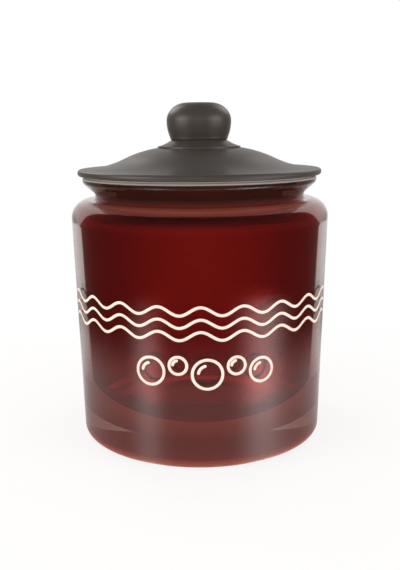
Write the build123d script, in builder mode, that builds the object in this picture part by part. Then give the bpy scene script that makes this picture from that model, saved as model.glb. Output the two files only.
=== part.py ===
from build123d import *
import math
import os

# A glass jar with a lift-off metal lid, standing on z = 0 with its axis on Z.
# All sizes are in millimetres. An outline is a list of corners, each with its radius from the axis,
# its height and the radius that rounds it.

os.makedirs("parts", exist_ok=True)

# Jar, outside. The wall is a cone, measured where it would meet the table and the top of the shoulder.
foot_radius = 76.4
shoulder_radius = 80.3
body_height = 148.9
heel_round = 4.6
shoulder_round = 11.2
punt_inset = 13.9
punt_slope = 2.5
punt_depth = 1.5
punt_round = 2.0

# Jar, neck and lip
neck_inset = 15.1
neck_length = 3.5
neck_round = 1.5
waist_round = 2.5
flare_height = 6.7
flare_round = 2.8
lip_overhang = 7.4
lip_face = 3.3
lip_round = 1.4

# Jar, thickness of the glass
base_thickness = 10.0
foot_wall = 6.0
shoulder_wall = 5.0
shoulder_thickness = 5.1
neck_wall = 4.5
floor_round = 32.0
inner_shoulder_round = 8.8
bore_foot_round = 4.8
bore_lip_round = 2.0

# Lid cover, spun from sheet with a rolled edge. Its brim falls outwards by a slope in degrees.
sheet = 1.2
brim_overhang = 2.8
brim_width = 4.9
brim_slope = 2.0
bead_height = 3.7
bead_width = 3.9
bead_top_round = 1.9
bead_low_round = 1.7
bead_inner_round = 1.0
dome_rise = 13.5
dome_sweep_radius = 58.0
crown_flat_radius = 14.5

# Knob: a rounded head over a flared skirt, with a small turn between them
knob_radius = 19.95
knob_crown_width = 12.45
knob_crown_height = 10.9
knob_side_height = 10.1
knob_foot_inset = 2.05
foot_turn_width = 0.8
foot_turn_height = 1.5
foot_turn_bulge = 0.25
skirt_width = 8.6
skirt_height = 3.9
skirt_hollow = 0.45
skirt_edge = 0.9
seat_margin = 0.6

# Seal and the ring that carries it
seal_gap = 0.3
seal_flange = 0.8
seal_flange_inset = 0.6
seal_band = 1.2
fin_length = 1.5
fin_count = 3
fin_pitch = 3.4
fin_root = 1.4
fin_tip = 0.5
first_fin = 1.6
plug_depth = 15.5
carrier_foot = 1.2
carrier_wall = 2.5
carrier_gap = 0.2

# Screw and washer under the knob
shank_radius = 2.5
shank_length = 16.0
head_radius = 4.75
head_height = 3.2
head_round = 1.9
recess_length = 5.2
recess_width = 1.1
recess_depth = 1.8
washer_radius = 9.0
washer_thickness = 1.2
hole_gap = 0.25
thread_gap = 0.05
tap_allowance = 1.0

# Least straight stretch left beside a rounded corner
least_flat = 0.5

# Sizes that follow for the jar
neck_radius = shoulder_radius - neck_inset
lip_radius = neck_radius + lip_overhang
bore_radius = neck_radius - neck_wall
neck_top = body_height + neck_length
flare_top = neck_top + flare_height
lip_height = flare_top + lip_face
floor_radius = foot_radius - foot_wall
inner_shoulder_radius = shoulder_radius - shoulder_wall
inner_shoulder_height = body_height - shoulder_thickness
inner_ledge = inner_shoulder_radius - bore_radius
punt_radius = foot_radius - punt_inset

# Sizes that follow for the lid cover
brim_radius = lip_radius + brim_overhang
brim_low = lip_height + seal_flange
brim_top = brim_low + bead_height
bead_inner_radius = brim_radius - bead_width
slope = math.radians(brim_slope)
brim_under = brim_top + bead_width * math.tan(slope) - sheet / math.cos(slope)
dome_foot_radius = brim_radius - brim_width
dome_foot_height = brim_top + brim_width * math.tan(slope)
dome_top = brim_top + dome_rise
sweep_across = dome_foot_radius + dome_sweep_radius * math.sin(slope)
sweep_up = dome_foot_height + dome_sweep_radius * math.cos(slope)
dome_run = sweep_across - crown_flat_radius
dome_climb = dome_top + dome_sweep_radius - sweep_up
dome_angle = 2 * math.atan2(dome_climb, dome_run)
crown_round = dome_run / math.sin(dome_angle) - dome_sweep_radius
crown_centre = dome_top - crown_round

# Sizes that follow for the knob, and for its seat, where the dome is pressed flat
knob_foot_radius = knob_radius - knob_foot_inset
skirt_top_radius = knob_foot_radius - foot_turn_width
skirt_radius = skirt_top_radius + skirt_width
seat_radius = skirt_radius + seat_margin
seat_angle = math.asin((seat_radius - crown_flat_radius) / crown_round)
seat_height = crown_centre + crown_round * math.cos(seat_angle)
seat_under = seat_height - sheet
under_round = crown_round - sheet
under_angle = math.acos((seat_under - crown_centre) / under_round)
skirt_edge_top = seat_height + skirt_edge
skirt_top = skirt_edge_top + skirt_height
foot_height = skirt_top + foot_turn_height
belly_height = foot_height + knob_side_height
knob_top = belly_height + knob_crown_height
knob_flat_radius = knob_radius - knob_crown_width

# Sizes that follow for the screw and washer
screw_hole = shank_radius + hole_gap
washer_bottom = seat_under - washer_thickness
head_bottom = washer_bottom - head_height
tap_depth = washer_bottom + shank_length + tap_allowance - seat_height

# Sizes that follow for the seal and its carrier
fin_radius = bore_radius - seal_gap
band_radius = fin_radius - fin_length
carrier_radius = band_radius - seal_band
carrier_inner_radius = carrier_radius - carrier_wall
carrier_rim_radius = bead_inner_radius - carrier_gap
seal_flange_radius = bead_inner_radius - seal_flange_inset
carrier_bottom = lip_height - plug_depth
seal_bottom = carrier_bottom + carrier_foot

# Corner rounds, each limited by the wall beside it
neck_turn = min(neck_round, (neck_length - least_flat) / 2)
waist_turn = min(waist_round, neck_length - least_flat)
shoulder_turn = min(shoulder_round, neck_inset - neck_turn - least_flat)
flare_turn = min(flare_round, lip_face - least_flat)
lip_turn = min(lip_round, (lip_face - least_flat) / 2)
bore_foot_turn = min(bore_foot_round, (inner_ledge - least_flat) / 2)
inner_shoulder_turn = min(inner_shoulder_round, inner_ledge - bore_foot_turn - least_flat)
bead_top_turn = min(bead_top_round, (bead_height - least_flat) / 2)
bead_low_turn = min(bead_low_round, (bead_height - least_flat) / 2, (bead_width - least_flat) / 2)
bead_inner_turn = min(bead_inner_round, (bead_width - least_flat) / 2)
head_turn = min(head_round, head_height - least_flat)


def draw_corners(corners):
    """Draw a closed outline from rows of radius, height and corner round."""
    points = [(radius, height) for radius, height, turn in corners]
    turns = [turn for radius, height, turn in corners]
    FilletPolyline(*points, radius=turns, close=True)


# Jar body: one piece of pressed glass, turned about Z
outside = [
    (0, punt_depth, 0),
    (punt_radius - punt_slope, punt_depth, punt_round),
    (punt_radius, 0, punt_round),
    (foot_radius, 0, heel_round),
    (shoulder_radius, body_height, shoulder_turn),
    (neck_radius, body_height, neck_turn),
    (neck_radius, neck_top, waist_turn),
    (lip_radius, flare_top, flare_turn),
    (lip_radius, lip_height, lip_turn),
]
inside = [
    (bore_radius, lip_height, bore_lip_round),
    (bore_radius, inner_shoulder_height, bore_foot_turn),
    (inner_shoulder_radius, inner_shoulder_height, inner_shoulder_turn),
    (floor_radius, base_thickness, floor_round),
    (0, base_thickness, 0),
]
with BuildPart() as jar_body:
    with BuildSketch(Plane.XZ):
        with BuildLine():
            draw_corners(outside + inside)
        make_face()
    revolve(axis=Axis.Z)
jar_body.part.label = "jar_body"
export_step(jar_body.part, "parts/jar_body.step")

# Lid cover: an ogee dome that runs out into a sloping brim, its edge rolled into a bead
dome_degrees = math.degrees(dome_angle)
seat_degrees = math.degrees(seat_angle)
under_degrees = math.degrees(under_angle)
sweep_degrees = dome_degrees - brim_slope
crown = (crown_flat_radius, crown_centre)
sweep = (sweep_across, sweep_up)
with BuildPart() as lid_shell:
    with BuildSketch(Plane.XZ):
        with BuildLine():
            over = CenterArc(crown, crown_round, 90 - dome_degrees, dome_degrees - seat_degrees)
            under = CenterArc(crown, under_round, 90 - dome_degrees, dome_degrees - under_degrees)
            over_sweep = CenterArc(sweep, dome_sweep_radius, 270 - dome_degrees, sweep_degrees)
            under_sweep = CenterArc(sweep, dome_sweep_radius + sheet, 270 - dome_degrees, sweep_degrees)
            Polyline(over @ 1, (screw_hole, seat_height), (screw_hole, seat_under), under @ 1)
            FilletPolyline(
                over_sweep @ 1,
                (brim_radius, brim_top),
                (brim_radius, brim_low),
                (bead_inner_radius, brim_low),
                (bead_inner_radius, brim_under),
                under_sweep @ 1,
                radius=[bead_top_turn, bead_low_turn, bead_inner_turn, 0],
            )
        make_face()
    revolve(axis=Axis.Z)
lid_shell.part.label = "lid_shell"
export_step(lid_shell.part, "parts/lid_shell.step")

# Knob: one turned piece, with a blind tapped hole from below
with BuildPart() as lid_knob:
    with BuildSketch(Plane.XZ):
        with BuildLine():
            Polyline((0, seat_height), (skirt_radius, seat_height), (skirt_radius, skirt_edge_top))
            SagittaArc((skirt_top_radius, skirt_top), (skirt_radius, skirt_edge_top), -skirt_hollow)
            SagittaArc((skirt_top_radius, skirt_top), (knob_foot_radius, foot_height), -foot_turn_bulge)
            TangentArc((knob_radius, belly_height), (knob_foot_radius, foot_height), tangent=(0, -1))
            EllipticalCenterArc(
                (knob_flat_radius, belly_height),
                knob_crown_width,
                knob_crown_height,
                start_angle=0,
                arc_size=90,
            )
            Polyline((knob_flat_radius, knob_top), (0, knob_top), (0, seat_height))
        make_face()
    revolve(axis=Axis.Z)
    with BuildSketch(Plane.XY.offset(seat_height)):
        Circle(shank_radius + thread_gap)
    extrude(amount=tap_depth, mode=Mode.SUBTRACT)
lid_knob.part.label = "lid_knob"
export_step(lid_knob.part, "parts/lid_knob.step")

# Washer, pressed against the underside of the seat
with BuildPart() as screw_washer:
    with BuildSketch(Plane.XY.offset(washer_bottom)):
        Circle(washer_radius)
        Circle(screw_hole, mode=Mode.SUBTRACT)
    extrude(amount=washer_thickness)
screw_washer.part.label = "screw_washer"
export_step(screw_washer.part, "parts/screw_washer.step")

# Screw: a domed head with a cross recess, and a plain shank for its fine thread
with BuildPart() as knob_screw:
    with BuildSketch(Plane.XY.offset(head_bottom)):
        Circle(head_radius)
    extrude(amount=head_height)
    fillet(knob_screw.edges().sort_by(Axis.Z)[0], head_turn)
    with BuildSketch(Plane.XY.offset(washer_bottom)):
        Circle(shank_radius)
    extrude(amount=shank_length)
    with BuildSketch(Plane.XY.offset(head_bottom)):
        Rectangle(recess_length, recess_width)
        Rectangle(recess_width, recess_length)
    extrude(amount=recess_depth, mode=Mode.SUBTRACT)
knob_screw.part.label = "knob_screw"
export_step(knob_screw.part, "parts/knob_screw.step")

# Seal carrier: a ring below the brim, with a foot that keeps the seal on
with BuildPart() as seal_carrier:
    with BuildSketch(Plane.XZ):
        with BuildLine():
            Polyline(
                (carrier_inner_radius, carrier_bottom),
                (band_radius, carrier_bottom),
                (band_radius, seal_bottom),
                (carrier_radius, seal_bottom),
                (carrier_radius, brim_low),
                (carrier_rim_radius, brim_low),
                (carrier_rim_radius, brim_under),
                (carrier_inner_radius, brim_under),
                close=True,
            )
        make_face()
    revolve(axis=Axis.Z)
seal_carrier.part.label = "seal_carrier"
export_step(seal_carrier.part, "parts/seal_carrier.step")

# Seal ring: a band with fins that wipe the bore, and a flange that lies on the lip
fins = []
for number in range(fin_count):
    middle = seal_bottom + first_fin + number * fin_pitch
    fins += [(band_radius, middle - fin_root / 2), (fin_radius, middle - fin_tip / 2)]
    fins += [(fin_radius, middle + fin_tip / 2), (band_radius, middle + fin_root / 2)]
with BuildPart() as seal_ring:
    with BuildSketch(Plane.XZ):
        with BuildLine():
            Polyline(
                (carrier_radius, seal_bottom),
                (band_radius, seal_bottom),
                *fins,
                (band_radius, lip_height),
                (seal_flange_radius, lip_height),
                (seal_flange_radius, brim_low),
                (carrier_radius, brim_low),
                close=True,
            )
        make_face()
    revolve(axis=Axis.Z)
seal_ring.part.label = "seal_ring"
export_step(seal_ring.part, "parts/seal_ring.step")
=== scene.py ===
"""Looks of a red glass jar with a lift-off metal lid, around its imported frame. Lengths are in metres."""

import logging
import math
from dataclasses import dataclass, field
from enum import Enum

import bmesh
import bpy
from mathutils import Euler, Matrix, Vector


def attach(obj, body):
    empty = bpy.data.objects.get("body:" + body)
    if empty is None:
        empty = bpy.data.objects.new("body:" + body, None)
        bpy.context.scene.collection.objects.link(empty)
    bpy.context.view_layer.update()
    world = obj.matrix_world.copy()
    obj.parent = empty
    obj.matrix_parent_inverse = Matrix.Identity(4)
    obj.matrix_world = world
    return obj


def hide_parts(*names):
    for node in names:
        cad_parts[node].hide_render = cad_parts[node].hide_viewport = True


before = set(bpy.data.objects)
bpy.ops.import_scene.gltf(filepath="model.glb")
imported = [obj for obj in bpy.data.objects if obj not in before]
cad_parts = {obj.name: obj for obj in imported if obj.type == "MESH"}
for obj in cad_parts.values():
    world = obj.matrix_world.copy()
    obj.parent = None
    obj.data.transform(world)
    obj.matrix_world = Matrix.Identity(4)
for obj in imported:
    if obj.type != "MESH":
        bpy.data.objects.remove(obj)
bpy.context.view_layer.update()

log = logging.getLogger("jar")

MM = 0.001
PICTURE_HEIGHT = 570
SENSOR_MM = 36.0
WHITE = (1.0, 1.0, 1.0, 1.0)


def hex_colour(code: str) -> tuple[float, float, float, float]:
    """Turn an sRGB hex colour into linear red, green, blue and alpha.

    Args:
        code: Six hex digits after a hash, such as "#4b4641".

    Returns:
        The linear colour, with an alpha of 1.
    """
    parts = [int(code[start:start + 2], 16) / 255 for start in (1, 3, 5)]
    red, green, blue = [c / 12.92 if c <= 0.04045 else ((c + 0.055) / 1.055) ** 2.4 for c in parts]
    return red, green, blue, 1.0


def add_node(tree: bpy.types.NodeTree, kind: str, settings: dict | None = None,
             inputs: dict | None = None) -> bpy.types.Node:
    """Add a node with its settings, values and links.

    Args:
        tree: The node tree that takes the node.
        kind: The node's type name.
        settings: The node's own properties.
        inputs: A value or an output socket for each input, by name or number.

    Returns:
        The new node.
    """
    node = tree.nodes.new(kind)
    for name, value in (settings or {}).items():
        setattr(node, name, value)
    for name, value in (inputs or {}).items():
        if isinstance(value, bpy.types.NodeSocket):
            tree.links.new(value, node.inputs[name])
        else:
            node.inputs[name].default_value = value
    return node


def new_material(name: str) -> tuple[bpy.types.Material, bpy.types.NodeTree]:
    """Make a material with an empty tree.

    Args:
        name: The material's name.

    Returns:
        The material and its node tree.
    """
    material = bpy.data.materials.new(name)
    material.use_nodes = True
    material.node_tree.nodes.clear()
    return material, material.node_tree


def pattern_scale(size_mm: float) -> float:
    """Give the texture scale at which one cell of a pattern measures that many millimetres."""
    return 1 / (size_mm * MM)


def mottled(tree: bpy.types.NodeTree, place: bpy.types.NodeSocket, cloud_mm: float,
            tones: tuple[str, str], detail: float = 2.0) -> bpy.types.NodeSocket:
    """Give a colour that drifts between two tones, in clouds of a real size.

    Args:
        tree: The tree that takes the nodes.
        place: The place on the piece.
        cloud_mm: The size of a cloud, in millimetres.
        tones: The two hex colours.
        detail: How many finer clouds lie within each.

    Returns:
        The colour.
    """
    cloud = add_node(tree, "ShaderNodeTexNoise", {}, {
        "Vector": place, "Scale": pattern_scale(cloud_mm), "Detail": detail})
    first, second = [hex_colour(tone) for tone in tones]
    return add_node(tree, "ShaderNodeMix", {"data_type": "RGBA"}, {
        "Factor": cloud.outputs["Fac"], "A": first, "B": second}).outputs["Result"]


def uneven(tree: bpy.types.NodeTree, place: bpy.types.NodeSocket, bump_mm: float,
           height_mm: float, detail: float = 2.0) -> bpy.types.NodeSocket:
    """Give the normal of a surface with bumps of a real size.

    Args:
        tree: The tree that takes the nodes.
        place: The place on the piece.
        bump_mm: How far a bump reaches across, in millimetres.
        height_mm: How high it is, in millimetres.
        detail: How many finer bumps lie within each.

    Returns:
        The normal.
    """
    bumps = add_node(tree, "ShaderNodeTexNoise", {}, {
        "Vector": place, "Scale": pattern_scale(bump_mm), "Detail": detail})
    return add_node(tree, "ShaderNodeBump", {}, {
        "Height": bumps.outputs["Fac"], "Distance": height_mm * MM}).outputs["Normal"]


@dataclass(frozen=True)
class PressedGlass:
    """Clear soda-lime glass, pressed in a polished mould: bright, smooth, and a little wavy up close.

    Low down it is tinted. A diffuse red gives it a painted glow there, standing in for the red light which
    the thick base gathers
    from the lacquer above it. The heel's tight round has the most painted glow. The lip's top edge has a
    painted highlight:
    a pale diffuse band that stands in for the light the glass lip catches.
    """

    colour: str = "#f3e7e4"
    low_colour: str = "#a85c50"
    # Painted glow: a diffuse red low down, standing in for the red light that the base gathers
    glow: str = "#a85044"
    glow_share: float = 0.26
    glow_low_mm: float = 6.0
    glow_top_mm: float = 40.0
    # Painted glow, paler, on the heel's round
    heel_glow: str = "#e8846c"
    heel_glow_share: float = 0.32
    heel_low_mm: float = 3.0
    heel_top_mm: float = 6.5
    # Painted highlight: a pale diffuse band on the lip's top edge, for the light that the glass lip catches
    lip_highlight: str = "#efe4df"
    lip_highlight_share: float = 0.8
    lip_highlight_low_mm: float = 160.9
    lip_highlight_top_mm: float = 161.5
    ior: float = 1.5
    wave_mm: float = 26.0
    wave_height_mm: float = 0.02

    def material(self) -> bpy.types.Material:
        """Build the clear glass of the outside, the neck and the lip.

        Returns:
            The material.
        """
        material, tree = new_material("pressed_clear_glass")
        place = add_node(tree, "ShaderNodeTexCoord").outputs["Object"]
        height = add_node(tree, "ShaderNodeSeparateXYZ", {}, {0: place}).outputs["Z"]
        low = add_node(tree, "ShaderNodeMapRange", {"interpolation_type": "SMOOTHSTEP"}, {
            "Value": height, "From Min": self.glow_low_mm * MM, "From Max": self.glow_top_mm * MM,
            "To Min": 1.0, "To Max": 0.0}).outputs["Result"]
        colour = add_node(tree, "ShaderNodeMix", {"data_type": "RGBA"}, {
            "Factor": low, "A": hex_colour(self.colour), "B": hex_colour(self.low_colour)})
        share = add_node(tree, "ShaderNodeMath", {"operation": "MULTIPLY"}, {0: low, 1: self.glow_share})
        shader = add_node(tree, "ShaderNodeBsdfPrincipled", {}, {
            "Base Color": colour.outputs["Result"], "Roughness": 0.0, "IOR": self.ior,
            "Transmission Weight": 1.0,
            "Normal": uneven(tree, place, self.wave_mm, self.wave_height_mm, detail=1.0)})
        # The diffuse red low down is a painted glow
        glow = add_node(tree, "ShaderNodeBsdfDiffuse", {}, {"Color": hex_colour(self.glow)})
        glowing = add_node(tree, "ShaderNodeMixShader", {}, {
            "Fac": share.outputs[0], 1: shader.outputs["BSDF"], 2: glow.outputs["BSDF"]})
        # The heel's paler diffuse red is more painted glow
        round_share = add_node(tree, "ShaderNodeMapRange", {}, {
            "Value": height, "From Min": self.heel_low_mm * MM, "From Max": self.heel_top_mm * MM,
            "To Min": self.heel_glow_share, "To Max": 0.0})
        heel_glow = add_node(tree, "ShaderNodeBsdfDiffuse", {}, {"Color": hex_colour(self.heel_glow)})
        heeled = add_node(tree, "ShaderNodeMixShader", {}, {
            "Fac": round_share.outputs["Result"], 1: glowing.outputs["Shader"], 2: heel_glow.outputs["BSDF"]})
        # The pale diffuse band on the lip's top edge is a painted highlight
        edge = add_node(tree, "ShaderNodeMapRange", {}, {
            "Value": height, "From Min": self.lip_highlight_low_mm * MM, "From Max": self.lip_highlight_top_mm * MM,
            "To Max": self.lip_highlight_share})
        lip_highlight = add_node(tree, "ShaderNodeBsdfDiffuse", {}, {"Color": hex_colour(self.lip_highlight)})
        whole = add_node(tree, "ShaderNodeMixShader", {}, {
            "Fac": edge.outputs["Result"], 1: heeled.outputs["Shader"], 2: lip_highlight.outputs["BSDF"]})
        add_node(tree, "ShaderNodeOutputMaterial", {}, {"Surface": whole.outputs["Shader"]})
        return material


@dataclass(frozen=True)
class RedLustre:
    """Translucent red lacquer, sprayed on the inside: deep red, and a mirror where light grazes it.

    It lies thick on the floor, the shoulder's ceiling and the bore, and partly hides what is behind them.
    A slant, and the start or end of one, runs from 0, seen straight on, to 1, seen edge on.
    """

    thin: str = "#b04a40"
    thick: str = "#a44238"
    slanted: str = "#8c2a20"
    rim: str = "#94605a"
    veil: str = "#ff5950"
    pooled: str = "#a84e3c"
    floor: str = "#d98474"
    arch: str = "#c23a2e"
    neck: str = "#e07f6c"
    # Painted shade: the shaded seal, seen through the glass, drawn as a browner lining
    painted_seal_shade: str = "#8c6656"
    ior: float = 1.5
    cloud_mm: float = 34.0
    wave_mm: float = 22.0
    wave_height_mm: float = 0.03
    least_mirror: float = 0.45
    weak_mirror: float = 0.045
    floor_top_mm: float = 68.0
    floor_low_mm: float = 34.0
    arch_low_mm: float = 134.0
    arch_top_mm: float = 137.0
    arch_high_mm: float = 142.6
    arch_slant: float = 0.12
    high_slant: float = 0.66
    slant_fade: float = 0.04
    arch_share: float = 0.45
    neck_low_mm: float = 142.0
    neck_top_mm: float = 143.6
    body: float = 0.34
    upper_low_mm: float = 149.0
    upper_top_mm: float = 153.0
    tint_top_mm: float = 36.0
    tint_low_mm: float = 14.0
    rim_top_mm: float = 110.0
    rim_low_mm: float = 30.0
    upper_rim: float = 0.35
    rim_start: float = 0.255
    rim_end: float = 0.33
    slant_end: float = 0.28

    def tint(self, tree: bpy.types.NodeTree, place: bpy.types.NodeSocket,
             height: bpy.types.NodeSocket) -> bpy.types.NodeSocket:
        """Give what the lacquer lets through.

        Args:
            tree: The tree that takes the nodes.
            place: The place on the glass.
            height: The height above the table.

        Returns:
            A cloudy red that deepens where light crosses it at a slant, and lets more through on the floor.
        """
        red = mottled(tree, place, self.cloud_mm, (self.thin, self.thick))
        slant = add_node(tree, "ShaderNodeMapRange", {}, {
            "Value": add_node(tree, "ShaderNodeLayerWeight").outputs["Facing"], "From Max": self.slant_end})
        wall = add_node(tree, "ShaderNodeMix", {"data_type": "RGBA"}, {
            "Factor": slant.outputs["Result"], "A": red, "B": hex_colour(self.slanted)})
        deep = add_node(tree, "ShaderNodeMapRange", {}, {
            "Value": height, "From Min": self.tint_low_mm * MM, "From Max": self.tint_top_mm * MM,
            "To Min": 1.0, "To Max": 0.0})
        return add_node(tree, "ShaderNodeMix", {"data_type": "RGBA"}, {
            "Factor": deep.outputs["Result"], "A": wall.outputs["Result"],
            "B": hex_colour(self.floor)}).outputs["Result"]

    def on_floor(self, tree: bpy.types.NodeTree, height: bpy.types.NodeSocket) -> bpy.types.NodeSocket:
        """Give 1 on the floor and low on its round, where the lacquer pools, and 0 on the wall above.

        Args:
            tree: The tree that takes the nodes.
            height: The height above the table.

        Returns:
            The share.
        """
        return add_node(tree, "ShaderNodeMapRange", {}, {
            "Value": height, "From Min": self.floor_low_mm * MM, "From Max": self.floor_top_mm * MM,
            "To Min": 1.0, "To Max": 0.0}).outputs["Result"]

    def on_neck(self, tree: bpy.types.NodeTree, height: bpy.types.NodeSocket) -> bpy.types.NodeSocket:
        """Give 1 on the shoulder's ceiling and the bore, where the spray starts, and 0 on the wall.

        Args:
            tree: The tree that takes the nodes.
            height: The height above the table.

        Returns:
            The share. It is partial on the round below the ceiling, and ends there where light grazes it.
        """
        ceiling = add_node(tree, "ShaderNodeMapRange", {}, {
            "Value": height, "From Min": self.neck_low_mm * MM, "From Max": self.neck_top_mm * MM})
        arch = add_node(tree, "ShaderNodeMapRange", {}, {
            "Value": height, "From Min": self.arch_low_mm * MM, "From Max": self.arch_top_mm * MM})
        limit = add_node(tree, "ShaderNodeMapRange", {}, {
            "Value": height, "From Min": self.arch_low_mm * MM, "From Max": self.arch_high_mm * MM,
            "To Min": self.arch_slant, "To Max": self.high_slant})
        beyond = add_node(tree, "ShaderNodeMath", {"operation": "SUBTRACT"}, {
            0: add_node(tree, "ShaderNodeLayerWeight").outputs["Facing"], 1: limit.outputs["Result"]})
        facing = add_node(tree, "ShaderNodeMapRange", {}, {
            "Value": beyond.outputs[0], "From Min": -self.slant_fade, "From Max": self.slant_fade,
            "To Min": self.arch_share, "To Max": 0.0})
        seen = add_node(tree, "ShaderNodeMath", {"operation": "MULTIPLY"}, {
            0: arch.outputs["Result"], 1: facing.outputs["Result"]})
        return add_node(tree, "ShaderNodeMath", {"operation": "MAXIMUM"}, {
            0: ceiling.outputs["Result"], 1: seen.outputs[0]}).outputs[0]

    def lining(self, tree: bpy.types.NodeTree, height: bpy.types.NodeSocket) -> bpy.types.NodeSocket:
        """Give the thick lacquer's colour: red on the round, paler on the neck, and browner beside the seal,
        where a painted shade stands for the shaded seal seen through the glass.

        Args:
            tree: The tree that takes the nodes.
            height: The height above the table.

        Returns:
            The colour.
        """
        colour = hex_colour(self.arch)
        # The browner stop beside the seal is a painted shade of the seal seen through the glass
        stops = (
            (self.neck, self.neck_low_mm, self.neck_top_mm),
            (self.painted_seal_shade, self.upper_low_mm, self.upper_top_mm),
        )
        for code, low, top in stops:
            share = add_node(tree, "ShaderNodeMapRange", {}, {
                "Value": height, "From Min": low * MM, "From Max": top * MM})
            colour = add_node(tree, "ShaderNodeMix", {"data_type": "RGBA"}, {
                "Factor": share.outputs["Result"], "A": colour, "B": hex_colour(code)}).outputs["Result"]
        return colour

    def rim_tint(self, tree: bpy.types.NodeTree, height: bpy.types.NodeSocket) -> bpy.types.NodeSocket:
        """Give the tint of what the wall mirrors where light grazes it.

        Args:
            tree: The tree that takes the nodes.
            height: The height above the table.

        Returns:
            A tint that is red beside the red of the wall and clear towards its limb.
        """
        wall = add_node(tree, "ShaderNodeMapRange", {}, {
            "Value": height, "From Min": self.rim_low_mm * MM, "From Max": self.rim_top_mm * MM,
            "To Min": 1.0, "To Max": self.upper_rim})
        near = add_node(tree, "ShaderNodeMapRange", {}, {
            "Value": add_node(tree, "ShaderNodeLayerWeight").outputs["Facing"], "From Min": self.rim_start,
            "From Max": self.rim_end, "To Min": 1.0, "To Max": 0.0})
        edge = add_node(tree, "ShaderNodeMath", {"operation": "MULTIPLY"}, {
            0: wall.outputs["Result"], 1: near.outputs["Result"]})
        return add_node(tree, "ShaderNodeMix", {"data_type": "RGBA"}, {
            "Factor": edge.outputs[0], "A": WHITE, "B": hex_colour(self.rim)}).outputs["Result"]

    def material(self) -> bpy.types.Material:
        """Build the lacquered inner face of the glass.

        Returns:
            The material.
        """
        material, tree = new_material("red_lustre_lacquer")
        place = add_node(tree, "ShaderNodeTexCoord").outputs["Object"]
        height = add_node(tree, "ShaderNodeSeparateXYZ", {}, {0: place}).outputs["Z"]
        bump = uneven(tree, place, self.wave_mm, self.wave_height_mm, detail=1.0)
        through = add_node(tree, "ShaderNodeBsdfRefraction", {}, {
            "Color": self.tint(tree, place, height), "Roughness": 0.0, "IOR": self.ior, "Normal": bump})
        # Total reflection starts at once at its angle; below that the lacquer returns a weak red
        fresnel = add_node(tree, "ShaderNodeFresnel", {}, {"IOR": self.ior, "Normal": bump})
        total = add_node(tree, "ShaderNodeMapRange", {}, {
            "Value": fresnel.outputs["Fac"], "From Min": self.least_mirror,
            "From Max": 1.0}).outputs["Result"]
        neck, floor = self.on_neck(tree, height), self.on_floor(tree, height)
        thick = add_node(tree, "ShaderNodeMath", {"operation": "MAXIMUM"}, {0: neck, 1: floor})
        least = add_node(tree, "ShaderNodeMapRange", {}, {
            "Value": thick.outputs[0], "To Min": self.weak_mirror, "To Max": self.body})
        share = add_node(tree, "ShaderNodeMapRange", {}, {
            "Value": total, "To Min": least.outputs["Result"]})
        colour = add_node(tree, "ShaderNodeMix", {"data_type": "RGBA"}, {
            "Factor": total, "A": hex_colour(self.veil), "B": self.rim_tint(tree, height)})
        mirrored = add_node(tree, "ShaderNodeBsdfGlossy", {}, {
            "Color": colour.outputs["Result"], "Roughness": 0.0, "Normal": bump})
        # Seen from below, the pool on the floor is a red skin under the glass
        pool = add_node(tree, "ShaderNodeBsdfDiffuse", {}, {"Color": hex_colour(self.pooled)})
        lined = add_node(tree, "ShaderNodeBsdfDiffuse", {}, {"Color": self.lining(tree, height)})
        floored = add_node(tree, "ShaderNodeMixShader", {}, {
            "Fac": floor, 1: mirrored.outputs["BSDF"], 2: pool.outputs["BSDF"]})
        returned = add_node(tree, "ShaderNodeMixShader", {}, {
            "Fac": neck, 1: floored.outputs["Shader"], 2: lined.outputs["BSDF"]})
        shader = add_node(tree, "ShaderNodeMixShader", {}, {
            "Fac": share.outputs["Result"], 1: through.outputs["BSDF"], 2: returned.outputs["Shader"]})
        add_node(tree, "ShaderNodeOutputMaterial", {}, {"Surface": shader.outputs["Shader"]})
        return material


@dataclass(frozen=True)
class PowderCoat:
    """Fine-textured polyester powder coat on metal: matte, with a soft sheen and a faint orange peel."""

    colour: str = "#393531"
    worn: str = "#423d39"
    roughness: float = 0.4
    peel_mm: float = 0.9
    peel_height_mm: float = 0.012
    cloud_mm: float = 25.0

    def material(self) -> bpy.types.Material:
        """Build the charcoal coat of the lid and knob.

        Returns:
            The material.
        """
        material, tree = new_material("charcoal_powder_coat")
        place = add_node(tree, "ShaderNodeTexCoord").outputs["Object"]
        shader = add_node(tree, "ShaderNodeBsdfPrincipled", {}, {
            "Base Color": mottled(tree, place, self.cloud_mm, (self.colour, self.worn), detail=3.0),
            "Roughness": self.roughness,
            "Normal": uneven(tree, place, self.peel_mm, self.peel_height_mm)})
        add_node(tree, "ShaderNodeOutputMaterial", {}, {"Surface": shader.outputs["BSDF"]})
        return material


@dataclass(frozen=True)
class SmokedSilicone:
    """Moulded silicone rubber: matte, smoke grey, with a slight uneven bloom."""

    colour: str = "#cfc6c0"
    bloom: str = "#dcd4ce"
    roughness: float = 0.6
    bloom_mm: float = 6.0

    def material(self) -> bpy.types.Material:
        """Build the silicone of the seal.

        Returns:
            The material.
        """
        material, tree = new_material("smoked_silicone")
        place = add_node(tree, "ShaderNodeTexCoord").outputs["Object"]
        shader = add_node(tree, "ShaderNodeBsdfPrincipled", {}, {
            "Base Color": mottled(tree, place, self.bloom_mm, (self.colour, self.bloom)),
            "Roughness": self.roughness})
        add_node(tree, "ShaderNodeOutputMaterial", {}, {"Surface": shader.outputs["BSDF"]})
        return material


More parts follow.
